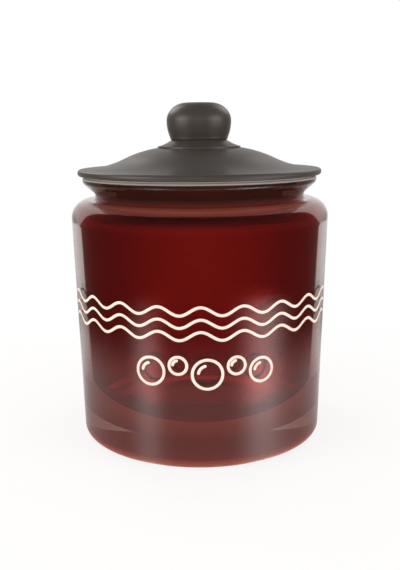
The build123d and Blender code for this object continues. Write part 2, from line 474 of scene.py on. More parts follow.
@dataclass(frozen=True)
class MouldedPlastic:
    """Injection-moulded polypropylene: dark, satin, with the fine grain of a spark-eroded mould."""

    colour: str = "#2b2826"
    roughness: float = 0.45
    # The real grain, of about 0.05 mm, is too fine to show, so it is drawn coarser
    grain_mm: float = 0.5
    grain_height_mm: float = 0.01

    def material(self) -> bpy.types.Material:
        """Build the plastic of the seal's carrier.

        Returns:
            The material.
        """
        material, tree = new_material("moulded_dark_plastic")
        place = add_node(tree, "ShaderNodeTexCoord").outputs["Object"]
        shader = add_node(tree, "ShaderNodeBsdfPrincipled", {}, {
            "Base Color": hex_colour(self.colour), "Roughness": self.roughness,
            "Normal": uneven(tree, place, self.grain_mm, self.grain_height_mm)})
        add_node(tree, "ShaderNodeOutputMaterial", {}, {"Surface": shader.outputs["BSDF"]})
        return material


@dataclass(frozen=True)
class ZincSteel:
    """Zinc-plated steel, stamped and turned: a cool grey metal with fine turning lines."""

    colour: str = "#b9b8b4"
    roughness: float = 0.32
    # Real turning lines lie about 0.1 mm apart and would not show, so they are drawn wider apart
    line_mm: float = 0.35
    line_height_mm: float = 0.006

    def material(self) -> bpy.types.Material:
        """Build the steel of the screw and its washer.

        Returns:
            The material.
        """
        material, tree = new_material("zinc_plated_steel")
        place = add_node(tree, "ShaderNodeTexCoord").outputs["Object"]
        lines = add_node(tree, "ShaderNodeTexWave", {"wave_type": "RINGS", "rings_direction": "Z"}, {
            "Vector": place, "Scale": pattern_scale(self.line_mm), "Distortion": 0.4})
        bump = add_node(tree, "ShaderNodeBump", {}, {
            "Height": lines.outputs["Fac"], "Distance": self.line_height_mm * MM})
        shader = add_node(tree, "ShaderNodeBsdfPrincipled", {}, {
            "Base Color": hex_colour(self.colour), "Metallic": 1.0, "Roughness": self.roughness,
            "Normal": bump.outputs["Normal"]})
        add_node(tree, "ShaderNodeOutputMaterial", {}, {"Surface": shader.outputs["BSDF"]})
        return material


@dataclass(frozen=True)
class CreamEnamel:
    """Screen-printed ceramic ink, fired on: an opaque warm cream with a silky surface and fine pinholes."""

    colour: str = "#faebdf"
    thin: str = "#f2dccd"
    roughness: float = 0.4
    # Real pinholes, of about 0.2 mm, are too fine to show and are drawn as a coarser mottle
    mottle_mm: float = 1.6

    def material(self) -> bpy.types.Material:
        """Build the ink of the printed motif.

        Returns:
            The material.
        """
        material, tree = new_material("cream_enamel_ink")
        place = add_node(tree, "ShaderNodeTexCoord").outputs["Object"]
        shader = add_node(tree, "ShaderNodeBsdfPrincipled", {}, {
            "Base Color": mottled(tree, place, self.mottle_mm, (self.colour, self.thin), detail=3.0),
            "Roughness": self.roughness})
        add_node(tree, "ShaderNodeOutputMaterial", {}, {"Surface": shader.outputs["BSDF"]})
        return material


class SocketKind(Enum):
    """What an input of a geometry tree takes."""

    GEOMETRY = "NodeSocketGeometry"
    LENGTH = "NodeSocketFloat"
    COUNT = "NodeSocketInt"
    FINISH = "NodeSocketMaterial"


class ShapeTree:
    """A geometry tree with named inputs, and the step that turns its result into a plain mesh."""

    def __init__(self, name: str, inputs: dict[str, SocketKind]) -> None:
        """Start a tree.

        Args:
            name: The tree's name.
            inputs: What each named input takes, after the geometry that comes in.
        """
        self.tree = bpy.data.node_groups.new(name, "GeometryNodeTree")
        sockets = self.tree.interface
        sockets.new_socket("Geometry", in_out="INPUT", socket_type=SocketKind.GEOMETRY.value)
        sockets.new_socket("Geometry", in_out="OUTPUT", socket_type=SocketKind.GEOMETRY.value)
        self.identifiers = {
            label: sockets.new_socket(label, in_out="INPUT", socket_type=kind.value).identifier
            for label, kind in inputs.items()
        }
        self.given = self.add("NodeGroupInput").outputs

    def add(self, kind: str, settings: dict | None = None, inputs: dict | None = None) -> bpy.types.Node:
        """Add a node to this tree, as add_node does."""
        return add_node(self.tree, kind, settings, inputs)

    def finish(self, geometry: bpy.types.NodeSocket) -> None:
        """Link the last geometry to the tree's output."""
        self.add("NodeGroupOutput", {}, {"Geometry": geometry})

    def make(self, name: str, start: bpy.types.Mesh, values: dict) -> bpy.types.Object:
        """Run the tree on a start mesh and keep the result as a plain mesh.

        Args:
            name: The new object's name.
            start: The mesh that the tree starts from.
            values: A value for each named input.

        Returns:
            An object at the origin, with no modifier left on it.
        """
        piece = bpy.data.objects.new(name, start)
        bpy.context.scene.collection.objects.link(piece)
        modifier = piece.modifiers.new("shape", "NODES")
        modifier.node_group = self.tree
        for label, value in values.items():
            modifier[self.identifiers[label]] = value
        bpy.context.view_layer.update()
        shown = piece.evaluated_get(bpy.context.evaluated_depsgraph_get())
        mesh = bpy.data.meshes.new_from_object(shown)
        piece.modifiers.remove(modifier)
        piece.data = mesh
        mesh.name = name
        bpy.data.meshes.remove(start)
        return piece


def face_outwards(piece: bpy.types.Object) -> None:
    """Turn every face of a closed piece outwards.

    Args:
        piece: The piece, which has a mesh.
    """
    work = bmesh.new()
    work.from_mesh(piece.data)
    bmesh.ops.recalc_face_normals(work, faces=work.faces)
    work.to_mesh(piece.data)
    work.free()


def lathe_tree() -> ShapeTree:
    """Build the tree that spins an outline about Z and gives its coated stretch a finish of its own.

    Returns:
        The tree. Its outline is a line of points at x = radius and y = height.
    """
    shape = ShapeTree("lathe", {
        "Segments": SocketKind.COUNT, "Guide Radius": SocketKind.LENGTH, "Weld": SocketKind.LENGTH,
        "Finish": SocketKind.FINISH, "Coat": SocketKind.FINISH})
    given = shape.given
    spot = shape.add("ShaderNodeSeparateXYZ", {}, {0: shape.add("GeometryNodeInputPosition").outputs[0]})
    across = shape.add("ShaderNodeMath", {"operation": "SUBTRACT"}, {
        0: spot.outputs[0], 1: given["Guide Radius"]})
    upwards = shape.add("ShaderNodeMath", {"operation": "MULTIPLY"}, {0: spot.outputs[1], 1: -1.0})
    shifted = shape.add("ShaderNodeCombineXYZ", {}, {0: across.outputs[0], 1: upwards.outputs[0]})
    placed = shape.add("GeometryNodeSetPosition", {}, {
        "Geometry": given["Geometry"], "Position": shifted.outputs[0]})
    outline = shape.add("GeometryNodeMeshToCurve", {}, {0: placed.outputs[0]})
    guide = shape.add("GeometryNodeCurvePrimitiveCircle", {}, {
        "Resolution": given["Segments"], "Radius": given["Guide Radius"]})
    spun = shape.add("GeometryNodeCurveToMesh", {}, {
        "Curve": guide.outputs["Curve"], "Profile Curve": outline.outputs[0]})
    welded = shape.add("GeometryNodeMergeByDistance", {}, {
        "Geometry": spun.outputs[0], "Distance": given["Weld"]})
    smooth = shape.add("GeometryNodeSetShadeSmooth", {}, {"Geometry": welded.outputs[0]})
    real = shape.add("GeometryNodeRealizeInstances", {}, {"Geometry": smooth.outputs[0]})
    clear = shape.add("GeometryNodeSetMaterial", {}, {
        "Geometry": real.outputs[0], "Material": given["Finish"]})
    coated = shape.add("GeometryNodeInputNamedAttribute", {"data_type": "FLOAT"}, {"Name": "coated"})
    inner = shape.add("FunctionNodeCompare", {"data_type": "FLOAT", "operation": "GREATER_THAN"}, {
        0: coated.outputs[0], 1: 0.5})
    red = shape.add("GeometryNodeSetMaterial", {}, {
        "Geometry": clear.outputs[0], "Selection": inner.outputs[0], "Material": given["Coat"]})
    shape.finish(red.outputs[0])
    return shape


@dataclass(frozen=True)
class Corner:
    """A corner of an outline, in millimetres: its radius from the axis, its height and its round."""

    radius: float
    height: float
    turn: float = 0.0


@dataclass
class Outline:
    """A line of rounded corners. A short stretch beside each round keeps a straight wall's shading flat."""

    corners: list[Corner]
    step_degrees: float = 5.0
    stretch: float = 0.25

    def rounded(self, number: int) -> list[Vector]:
        """Give the points that replace one corner.

        Args:
            number: The corner's place in the list.

        Returns:
            Its arc's points, or the corner itself where it has no round.
        """
        corner = self.corners[number]
        here = Vector((corner.radius, corner.height))
        if corner.turn == 0.0:
            return [here]
        back = self.towards(number, number - 1)
        ahead = self.towards(number, number + 1)
        half = back.angle(ahead) / 2
        reach = corner.turn / math.tan(half)
        centre = here + (back + ahead).normalized() * (corner.turn / math.sin(half))
        start = here + back * reach - centre
        end = here + ahead * reach - centre
        sweep = start.angle(end)
        steps = max(2, math.ceil(math.degrees(sweep) / self.step_degrees))
        arc = []
        for count in range(steps + 1):
            share = count / steps
            blend = start * math.sin((1 - share) * sweep) + end * math.sin(share * sweep)
            arc.append(centre + blend / math.sin(sweep))
        return [arc[0] + back * self.stretch] + arc + [arc[-1] + ahead * self.stretch]

    def towards(self, number: int, other: int) -> Vector:
        """Give the direction from one corner to another."""
        first, second = self.corners[number], self.corners[other]
        return Vector((second.radius - first.radius, second.height - first.height)).normalized()

    def mesh(self, first_coated: int) -> bpy.types.Mesh:
        """Draw the outline as a mesh of edges.

        Args:
            first_coated: The corner at whose round the coated stretch starts.

        Returns:
            The mesh, in metres, with an attribute that marks its coated points.
        """
        points, coated = [], []
        for number in range(len(self.corners)):
            arc = self.rounded(number)
            points += [(spot.x * MM, spot.y * MM, 0.0) for spot in arc]
            coated += [float(number >= first_coated)] * len(arc)
        edges = [(number, number + 1) for number in range(len(points) - 1)]
        mesh = bpy.data.meshes.new("outline")
        mesh.from_pydata(points, edges, [])
        marks = mesh.attributes.new("coated", "FLOAT", "POINT")
        marks.data.foreach_set("value", coated)
        return mesh


@dataclass
class JarGlass:
    """The jar's glass, in millimetres, as the solid has it: up its outside and down its inside."""

    foot_radius: float = 76.4
    shoulder_radius: float = 80.3
    body_height: float = 148.9
    heel_round: float = 4.6
    shoulder_round: float = 11.2
    punt_inset: float = 13.9
    punt_slope: float = 2.5
    punt_depth: float = 1.5
    punt_round: float = 2.0
    neck_inset: float = 15.1
    neck_length: float = 3.5
    neck_round: float = 1.5
    waist_round: float = 2.5
    flare_height: float = 6.7
    flare_round: float = 2.8
    lip_overhang: float = 7.4
    lip_face: float = 3.3
    lip_round: float = 1.4
    base_thickness: float = 10.0
    foot_wall: float = 6.0
    shoulder_wall: float = 5.0
    shoulder_thickness: float = 5.1
    neck_wall: float = 4.5
    floor_round: float = 32.0
    inner_shoulder_round: float = 8.8
    bore_foot_round: float = 4.8
    bore_lip_round: float = 2.0
    segments: int = 288
    weld: float = 0.001

    def outline(self) -> tuple[Outline, int]:
        """Draw the glass.

        Returns:
            The outline, and the number of the corner where its coat starts.
        """
        neck = self.shoulder_radius - self.neck_inset
        neck_top = self.body_height + self.neck_length
        flare_top = neck_top + self.flare_height
        lip = neck + self.lip_overhang
        lip_top = flare_top + self.lip_face
        bore = neck - self.neck_wall
        punt = self.foot_radius - self.punt_inset
        ceiling = self.body_height - self.shoulder_thickness
        outside = [
            Corner(0.0, self.punt_depth),
            Corner(punt - self.punt_slope, self.punt_depth, self.punt_round),
            Corner(punt, 0.0, self.punt_round),
            Corner(self.foot_radius, 0.0, self.heel_round),
            Corner(self.shoulder_radius, self.body_height, self.shoulder_round),
            Corner(neck, self.body_height, self.neck_round),
            Corner(neck, neck_top, self.waist_round),
            Corner(lip, flare_top, self.flare_round),
            Corner(lip, lip_top, self.lip_round),
            Corner(bore, lip_top, self.bore_lip_round),
        ]
        inside = [
            Corner(bore, ceiling, self.bore_foot_round),
            Corner(self.shoulder_radius - self.shoulder_wall, ceiling, self.inner_shoulder_round),
            Corner(self.foot_radius - self.foot_wall, self.base_thickness, self.floor_round),
            Corner(0.0, self.base_thickness),
        ]
        return Outline(outside + inside), len(outside) - 1

    def build(self, clear: bpy.types.Material, coat: bpy.types.Material) -> bpy.types.Object:
        """Spin the glass and let it stand for its solid.

        Args:
            clear: The finish of the outside.
            coat: The finish of the inside.

        Returns:
            The jar's piece.
        """
        outline, first_coated = self.outline()
        piece = lathe_tree().make("jar_glass", outline.mesh(first_coated), {
            "Segments": self.segments, "Guide Radius": self.shoulder_radius * MM, "Weld": self.weld * MM,
            "Finish": clear, "Coat": coat})
        face_outwards(piece)
        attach(piece, "jar")
        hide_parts("jar_body")
        log.info("spun %s with %d faces", piece.name, len(piece.data.polygons))
        return piece


@dataclass(frozen=True)
class Bubble:
    """A ring of the print, in millimetres: its place along the wall, its height and its radius."""

    along: float
    height: float
    radius: float


@dataclass
class PrintedMotif:
    """The print on the front: three lines of waves over a row of soap bubbles, in millimetres.

    A gleam is an arc within a bubble's ring. Its radius is a share of the ring's, and its angles are degrees.
    """

    glass: JarGlass
    stroke: float = 1.7
    ink: float = 0.1
    lift: float = 0.01
    tip_ink: float = 0.08
    tip_vertices: int = 16
    wave_count: int = 3
    wave_length: float = 24.0
    wave_height: float = 2.4
    wave_spacing: float = 7.0
    lowest_wave: float = 79.5
    wave_reach: float = 100.0
    wave_points: int = 400
    ring_points: int = 64
    gleam_radius: float = 0.6
    gleam_start: float = 105.0
    gleam_sweep: float = 65.0
    gleam_points: int = 16
    bubbles: tuple[Bubble, ...] = (
        Bubble(-29.0, 58.5, 8.0), Bubble(-13.0, 62.5, 5.0), Bubble(3.5, 57.5, 8.5),
        Bubble(20.0, 62.0, 5.0), Bubble(35.0, 58.0, 7.0))

    def waves_tree(self) -> ShapeTree:
        """Build the tree that draws the lines of waves on a flat wall, and prints them round the glass.

        Returns:
            The tree.
        """
        shape = self.print_tree("waves", {
            "Count": SocketKind.COUNT, "Points": SocketKind.COUNT, "Length": SocketKind.LENGTH,
            "Swing": SocketKind.LENGTH, "Spacing": SocketKind.LENGTH, "Lowest": SocketKind.LENGTH,
            "Reach": SocketKind.LENGTH})
        given = shape.given
        back = shape.add("ShaderNodeMath", {"operation": "MULTIPLY"}, {0: given["Reach"], 1: -1.0})
        start = shape.add("ShaderNodeCombineXYZ", {}, {0: back.outputs[0]})
        end = shape.add("ShaderNodeCombineXYZ", {}, {0: given["Reach"]})
        straight = shape.add("GeometryNodeCurvePrimitiveLine", {}, {
            "Start": start.outputs[0], "End": end.outputs[0]})
        fine = shape.add("GeometryNodeResampleCurve", {}, {
            "Curve": straight.outputs[0], "Count": given["Points"]})
        place = shape.add("GeometryNodeInputPosition")
        spot = shape.add("ShaderNodeSeparateXYZ", {}, {0: place.outputs[0]})
        waves = shape.add("ShaderNodeMath", {"operation": "DIVIDE"}, {
            0: spot.outputs[0], 1: given["Length"]})
        phase = shape.add("ShaderNodeMath", {"operation": "MULTIPLY"}, {0: waves.outputs[0], 1: math.tau})
        crest = shape.add("ShaderNodeMath", {"operation": "COSINE"}, {0: phase.outputs[0]})
        rise = shape.add("ShaderNodeMath", {"operation": "MULTIPLY"}, {
            0: crest.outputs[0], 1: given["Swing"]})
        swing = shape.add("ShaderNodeCombineXYZ", {}, {2: rise.outputs[0]})
        wavy = shape.add("GeometryNodeSetPosition", {}, {
            "Geometry": fine.outputs[0], "Offset": swing.outputs[0]})
        rows = shape.add("GeometryNodeMeshLine", {}, {
            "Count": given["Count"],
            "Start Location": shape.add("ShaderNodeCombineXYZ", {}, {2: given["Lowest"]}).outputs[0],
            "Offset": shape.add("ShaderNodeCombineXYZ", {}, {2: given["Spacing"]}).outputs[0]})
        lines = shape.add("GeometryNodeInstanceOnPoints", {}, {
            "Points": rows.outputs[0], "Instance": wavy.outputs[0]})
        self.print_lines(shape, lines.outputs[0])
        return shape

    def bubbles_tree(self) -> ShapeTree:
        """Build the tree that draws a ring and its gleam at each point that it is given, and prints them.

        Returns:
            The tree.
        """
        shape = self.print_tree("bubbles", {
            "Ring Points": SocketKind.COUNT, "Gleam Points": SocketKind.COUNT,
            "Gleam Radius": SocketKind.LENGTH, "Gleam Start": SocketKind.LENGTH,
            "Gleam Sweep": SocketKind.LENGTH})
        given = shape.given
        ring = shape.add("GeometryNodeCurvePrimitiveCircle", {}, {
            "Resolution": given["Ring Points"], "Radius": 1.0})
        gleam = shape.add("GeometryNodeCurveArc", {}, {
            "Resolution": given["Gleam Points"], "Radius": given["Gleam Radius"],
            "Start Angle": given["Gleam Start"], "Sweep Angle": given["Gleam Sweep"]})
        both = shape.add("GeometryNodeJoinGeometry")
        for curve in (ring, gleam):
            shape.tree.links.new(curve.outputs[0], both.inputs[0])
        upright = shape.add("GeometryNodeTransform", {}, {
            "Geometry": both.outputs[0], "Rotation": (math.pi / 2, 0.0, 0.0)})
        size = shape.add("GeometryNodeInputNamedAttribute", {"data_type": "FLOAT"}, {"Name": "radius"})
        placed = shape.add("GeometryNodeInstanceOnPoints", {}, {
            "Points": given["Geometry"], "Instance": upright.outputs[0], "Scale": size.outputs[0]})
        self.print_lines(shape, placed.outputs[0])
        return shape

    def print_tree(self, name: str, inputs: dict[str, SocketKind]) -> ShapeTree:
        """Start a tree that prints on the glass.

        Args:
            name: The tree's name.
            inputs: The inputs of this print, to which those that every print needs are added.

        Returns:
            The tree.
        """
        return ShapeTree(name, inputs | {
            "Stroke": SocketKind.LENGTH, "Ink": SocketKind.LENGTH, "Lift": SocketKind.LENGTH,
            "Tip Ink": SocketKind.LENGTH, "Tip Vertices": SocketKind.COUNT,
            "Foot Radius": SocketKind.LENGTH, "Shoulder Radius": SocketKind.LENGTH,
            "Body Height": SocketKind.LENGTH, "Finish": SocketKind.FINISH})

    def print_lines(self, shape: ShapeTree, lines: bpy.types.NodeSocket) -> None:
        """End a tree: give flat lines their stroke, lay them round the glass and ink them.

        Args:
            shape: The tree.
            lines: Lines on a flat upright wall, X along it and Z up.
        """
        given = shape.given
        real = shape.add("GeometryNodeRealizeInstances", {}, {"Geometry": lines})
        facing = shape.add("GeometryNodeSetCurveNormal", {"mode": "FREE"}, {
            "Curve": real.outputs[0], "Normal": (0.0, -1.0, 0.0)})
        plain = shape.add("GeometryNodeSetCurveRadius", {}, {"Curve": facing.outputs[0], "Radius": 1.0})
        section = shape.add("GeometryNodeCurvePrimitiveQuadrilateral", {}, {
            "Width": given["Ink"], "Height": given["Stroke"]})
        strokes = shape.add("GeometryNodeCurveToMesh", {}, {
            "Curve": plain.outputs[0], "Profile Curve": section.outputs[0], "Fill Caps": True})
        # A round tip, a little thinner than the ink, closes each end of a stroke
        ends = shape.add("GeometryNodeCurveEndpointSelection")
        half = shape.add("ShaderNodeMath", {"operation": "MULTIPLY"}, {0: given["Stroke"], 1: 0.5})
        dot = shape.add("GeometryNodeMeshCylinder", {}, {
            "Vertices": given["Tip Vertices"], "Radius": half.outputs[0], "Depth": given["Tip Ink"]})
        upright = shape.add("GeometryNodeTransform", {}, {
            "Geometry": dot.outputs[0], "Rotation": (math.pi / 2, 0.0, 0.0)})
        tips = shape.add("GeometryNodeInstanceOnPoints", {}, {
            "Points": plain.outputs[0], "Selection": ends.outputs[0], "Instance": upright.outputs[0]})
        flat = shape.add("GeometryNodeJoinGeometry")
        for part in (strokes, tips):
            shape.tree.links.new(part.outputs[0], flat.inputs[0])
        solid = shape.add("GeometryNodeRealizeInstances", {}, {"Geometry": flat.outputs[0]})
        wrapped = shape.add("GeometryNodeSetPosition", {}, {
            "Geometry": solid.outputs[0], "Position": self.round_glass(shape)})
        whole = shape.add("GeometryNodeRealizeInstances", {}, {"Geometry": wrapped.outputs[0]})
        inked_over = shape.add("GeometryNodeSetMaterial", {}, {
            "Geometry": whole.outputs[0], "Material": given["Finish"]})
        shape.finish(inked_over.outputs[0])

    def round_glass(self, shape: ShapeTree) -> bpy.types.NodeSocket:
        """Give each point of a flat print its place on the leaning round wall.

        Args:
            shape: The tree.

        Returns:
            The place, the ink's thickness and lift included.
        """
        given = shape.given
        place = shape.add("GeometryNodeInputPosition")
        spot = shape.add("ShaderNodeSeparateXYZ", {}, {0: place.outputs[0]})
        rise = shape.add("ShaderNodeMath", {"operation": "DIVIDE"}, {
            0: spot.outputs[2], 1: given["Body Height"]})
        taper = shape.add("ShaderNodeMath", {"operation": "SUBTRACT"}, {
            0: given["Shoulder Radius"], 1: given["Foot Radius"]})
        lean = shape.add("ShaderNodeMath", {"operation": "MULTIPLY"}, {
            0: taper.outputs[0], 1: rise.outputs[0]})
        wall = shape.add("ShaderNodeMath", {}, {0: given["Foot Radius"], 1: lean.outputs[0]})
        half_ink = shape.add("ShaderNodeMath", {"operation": "MULTIPLY"}, {0: given["Ink"], 1: 0.5})
        inked = shape.add("ShaderNodeMath", {}, {0: given["Lift"], 1: half_ink.outputs[0]})
        proud = shape.add("ShaderNodeMath", {"operation": "SUBTRACT"}, {
            0: inked.outputs[0], 1: spot.outputs[1]})
        away = shape.add("ShaderNodeMath", {}, {0: wall.outputs[0], 1: proud.outputs[0]})
        turn = shape.add("ShaderNodeMath", {"operation": "DIVIDE"}, {
            0: spot.outputs[0], 1: wall.outputs[0]})
        sine = shape.add("ShaderNodeMath", {"operation": "SINE"}, {0: turn.outputs[0]})
        cosine = shape.add("ShaderNodeMath", {"operation": "COSINE"}, {0: turn.outputs[0]})
        across = shape.add("ShaderNodeMath", {"operation": "MULTIPLY"}, {
            0: away.outputs[0], 1: sine.outputs[0]})
        ahead = shape.add("ShaderNodeMath", {"operation": "MULTIPLY"}, {0: away.outputs[0], 1: -1.0})
        front = shape.add("ShaderNodeMath", {"operation": "MULTIPLY"}, {
            0: ahead.outputs[0], 1: cosine.outputs[0]})
        return shape.add("ShaderNodeCombineXYZ", {}, {
            0: across.outputs[0], 1: front.outputs[0], 2: spot.outputs[2]}).outputs[0]

    def settings(self, finish: bpy.types.Material) -> dict:
        """Give the values that every print takes.

        Args:
            finish: The ink.

        Returns:
            A value for each input that every print has.
        """
        return {
            "Stroke": self.stroke * MM, "Ink": self.ink * MM, "Lift": self.lift * MM,
            "Tip Ink": self.tip_ink * MM, "Tip Vertices": self.tip_vertices,
            "Foot Radius": self.glass.foot_radius * MM, "Shoulder Radius": self.glass.shoulder_radius * MM,
            "Body Height": self.glass.body_height * MM, "Finish": finish}

    def print_waves(self, finish: bpy.types.Material) -> bpy.types.Object:
        """Print the lines of waves.

        Args:
            finish: The ink.

        Returns:
            Their piece.
        """
        start = bpy.data.meshes.new("start")
        return self.waves_tree().make("printed_waves", start, self.settings(finish) | {
            "Count": self.wave_count, "Points": self.wave_points, "Length": self.wave_length * MM,
            "Swing": self.wave_height * MM, "Spacing": self.wave_spacing * MM,
            "Lowest": self.lowest_wave * MM, "Reach": self.wave_reach * MM})

    def print_bubbles(self, finish: bpy.types.Material) -> bpy.types.Object:
        """Print the bubbles, each from a point that carries its radius.

        Args:
            finish: The ink.

        Returns:
            Their piece.
        """
        spots = bpy.data.meshes.new("start")
        spots.from_pydata([(b.along * MM, 0.0, b.height * MM) for b in self.bubbles], [], [])
        sizes = spots.attributes.new("radius", "FLOAT", "POINT")
        sizes.data.foreach_set("value", [b.radius * MM for b in self.bubbles])
        return self.bubbles_tree().make("printed_bubbles", spots, self.settings(finish) | {
            "Ring Points": self.ring_points, "Gleam Points": self.gleam_points,
            "Gleam Radius": self.gleam_radius, "Gleam Start": math.radians(self.gleam_start),
            "Gleam Sweep": math.radians(self.gleam_sweep)})

    def build(self, finish: bpy.types.Material) -> None:
        """Print the waves and the bubbles, each as a piece that rides on the jar.

        Args:
            finish: The ink.
        """
        for piece in (self.print_waves(finish), self.print_bubbles(finish)):
            face_outwards(piece)
            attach(piece, "jar")
            log.info("printed %s with %d faces", piece.name, len(piece.data.polygons))


@dataclass
class Lid:
    """The lid's pieces, which keep their solids and get their finishes here."""

    finishes: dict[str, bpy.types.Material] = field(default_factory=dict)

    def dress(self) -> None:
        """Give each solid of the lid its finish."""
        for name, finish in self.finishes.items():
            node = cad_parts[name]
            for slot in node.material_slots:
                slot.material = finish
            log.info("dressed %s in %s", name, finish.name)


@dataclass(frozen=True)
class Softbox:
    """A soft lamp that faces the jar, placed by its turn from the front, its distance and its height.

    The turn is in degrees, the lengths are in metres and the power is in watts.
    """

    name: str
    turn: float
    distance: float
    height: float
    size: tuple[float, float]
    power: float
    colour: str = "#fff3ed"

    def build(self, aim: Vector, kept_off: bpy.types.Collection) -> None:
        """Hang the lamp.

        Args:
            aim: The point that it faces.
            kept_off: The pieces that its light is kept off.
        """
        lamp = bpy.data.lights.new(self.name, "AREA")
        lamp.shape = "ELLIPSE"
        lamp.size, lamp.size_y = self.size
        lamp.energy = self.power
        lamp.color = hex_colour(self.colour)[:3]
        box = bpy.data.objects.new(self.name, lamp)
        turn = math.radians(self.turn)
        box.location = (math.sin(turn) * self.distance, -math.cos(turn) * self.distance, self.height)
        box.rotation_euler = (aim - box.location).to_track_quat("-Z", "Y").to_euler()
        box.light_linking.receiver_collection = kept_off
        bpy.context.scene.collection.objects.link(box)


@dataclass(frozen=True)
class LightPool:
    """A soft pool of light on the table, seen only where the glass mirrors it.

    Its turn from the front and its width are in degrees.
    """

    turn: float
    width: float
    strength: float
    fade_start: float


@dataclass
class Studio:
    """A pale table, soft lamps and a white surround that dims towards its sides.

    Where glass mirrors the surround, it is brightest behind the jar and dimmest in front of it.
    """

    table_radius: float = 0.45
    table_sides: int = 96
    table_colour: str = "#f4f3f2"
    table_glow: float = 0.8
    fade_start: float = 0.16
    side_glow: float = 0.45
    falloff: float = 2.0
    back_falloff: float = 2.0
    front_mirror: float = 0.2
    haze_falloff: float = 4.0
    haze_front: float = 0.07
    near_mirror: float = 0.62
    near_start: float = 0.14
    near_end: float = 0.33
    pool_end: float = 0.46
    room_light: float = 0.7
    aim_height: float = 0.12
    pool_root: float = -0.045
    pools: tuple[LightPool, ...] = (
        LightPool(-50.5, 12.6, 1.7, 0.26),
        LightPool(58.5, 17.4, 2.6, 0.36),
    )
    lamps: tuple[Softbox, ...] = (
        Softbox("front_softbox", 0.0, 1.1, 0.4, (0.9, 0.5), 1.2),
        Softbox("left_softbox", -62.0, 0.9, 0.34, (0.8, 0.6), 4.6),
        Softbox("right_softbox", 62.0, 0.9, 0.34, (0.8, 0.6), 4.0),
        Softbox("left_back_softbox", -140.0, 0.65, 0.6, (0.4, 0.4), 1.4),
        Softbox("right_back_softbox", 140.0, 0.65, 0.6, (0.4, 0.4), 0.9),
    )

    def sideways(self, tree: bpy.types.NodeTree, aside: bpy.types.NodeSocket) -> bpy.types.NodeSocket:
        """Give how bright the surround looks through glass.

        Args:
            tree: The tree that takes the nodes.
            aside: How far to the right a direction points, from -1 to 1.

        Returns:
            The brightness, from 1 straight on to less at its sides.
        """
        size = add_node(tree, "ShaderNodeMath", {"operation": "ABSOLUTE"}, {0: aside})
        power = add_node(tree, "ShaderNodeMath", {"operation": "POWER"}, {
            0: size.outputs[0], 1: self.falloff})
        return add_node(tree, "ShaderNodeMapRange", {}, {
            "Value": power.outputs[0], "To Min": 1.0, "To Max": self.side_glow}).outputs["Result"]

    def backwards(self, tree: bpy.types.NodeTree, depth: bpy.types.NodeSocket) -> bpy.types.NodeSocket:
        """Give how bright the surround looks once it is mirrored: 1 straight behind, dimmer elsewhere.

        Args:
            tree: The tree that takes the nodes.
            depth: How far behind the jar a direction points, from -1 to 1.

        Returns:
            The brightness, which falls off faster on the glass's outside than for light mirrored within it.
        """
        behind = add_node(tree, "ShaderNodeMath", {"operation": "MAXIMUM"}, {0: depth, 1: 0.0})
        inside = add_node(tree, "ShaderNodeMath", {"operation": "GREATER_THAN"}, {
            0: add_node(tree, "ShaderNodeLightPath").outputs["Transmission Depth"], 1: 0.5}).outputs[0]
        levels = []
        fades = (self.haze_falloff, self.haze_front), (self.back_falloff, self.front_mirror)
        for falloff, front in fades:
            power = add_node(tree, "ShaderNodeMath", {"operation": "POWER"}, {
                0: behind.outputs[0], 1: falloff})
            levels.append(add_node(tree, "ShaderNodeMapRange", {}, {
                "Value": power.outputs[0], "To Min": front, "To Max": 1.0}).outputs["Result"])
        return add_node(tree, "ShaderNodeMix", {"data_type": "FLOAT"}, {
            "Factor": inside, "A": levels[0], "B": levels[1]}).outputs["Result"]

    def rays(self, tree: bpy.types.NodeTree) -> tuple[bpy.types.NodeSocket, ...]:
        """Tell rays apart.

        Args:
            tree: The tree that takes the nodes.

        Returns:
            1 for rays that passed glass, 1 for rays that were mirrored on their way, 1 for the camera's.
        """
        path = add_node(tree, "ShaderNodeLightPath")
        mirrored = add_node(tree, "ShaderNodeMath", {"operation": "GREATER_THAN"}, {
            0: path.outputs["Glossy Depth"], 1: 0.5})
        return path.outputs["Is Transmission Ray"], mirrored.outputs[0], path.outputs["Is Camera Ray"]

    def world(self) -> None:
        """Make the surround: white where it is seen, dimmer at its sides in glass, dim where mirrored."""
        world = bpy.data.worlds.new("surround")
        world.use_nodes = True
        tree = world.node_tree
        tree.nodes.clear()
        way = add_node(tree, "ShaderNodeSeparateXYZ", {}, {
            0: add_node(tree, "ShaderNodeTexCoord").outputs["Generated"]})
        strengths = self.sideways(tree, way.outputs["X"]), self.backwards(tree, way.outputs["Y"]), 1.0
        room = add_node(tree, "ShaderNodeBackground", {}, {"Color": WHITE, "Strength": self.room_light})
        for kind, strength in zip(self.rays(tree), strengths):
            shown = add_node(tree, "ShaderNodeBackground", {}, {"Color": WHITE, "Strength": strength})
            room = add_node(tree, "ShaderNodeMixShader", {}, {
                "Fac": kind, 1: room.outputs[0], 2: shown.outputs[0]})
        add_node(tree, "ShaderNodeOutputWorld", {}, {"Surface": room.outputs[0]})
        bpy.context.scene.world = world

